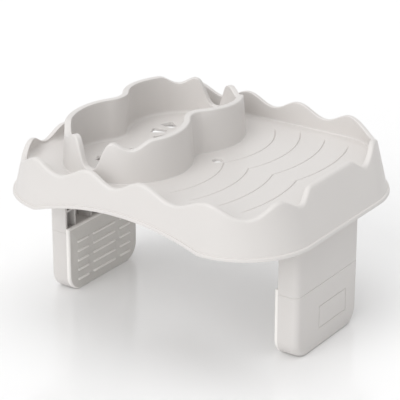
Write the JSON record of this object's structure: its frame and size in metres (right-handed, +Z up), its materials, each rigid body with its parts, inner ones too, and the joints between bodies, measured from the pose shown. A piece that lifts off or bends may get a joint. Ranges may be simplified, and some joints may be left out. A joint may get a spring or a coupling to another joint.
{
  "type": "hot tub tray",
  "caption": "Plastic tray that straddles a hot tub wall on padded legs, with a wavy rim, a joined pair of round cup wells with handle notches, and drain slots.",
  "frame": {"origin": "on the floor, under the middle of the tray", "axes": "+X from the left leg to the right leg, across the tub wall; +Y to the raised back rim; +Z up"},
  "size_m": [0.4186, 0.345, 0.2551],
  "materials": {
    "tray_plastic": "satin moulded",
    "leg_plastic": "satin moulded",
    "pad_rubber": "matt",
    "screw_steel": "stainless"
  },
  "bodies": {
    "root": {"tray": "tray_plastic", "left_leg_bracket": "leg_plastic", "left_lower_leg": "leg_plastic", "left_grip_pad": "pad_rubber", "right_leg_bracket": "leg_plastic", "right_lower_leg": "leg_plastic", "right_grip_pad": "pad_rubber", "left_bracket_screw_1": "screw_steel", "left_bracket_screw_2": "screw_steel", "left_bracket_screw_3": "screw_steel", "left_bracket_screw_4": "screw_steel", "right_bracket_screw_1": "screw_steel", "right_bracket_screw_2": "screw_steel", "right_bracket_screw_3": "screw_steel", "right_bracket_screw_4": "screw_steel", "left_leg_screw_1": "screw_steel", "left_leg_screw_2": "screw_steel", "right_leg_screw_1": "screw_steel", "right_leg_screw_2": "screw_steel"}
  },
  "joints": []
}
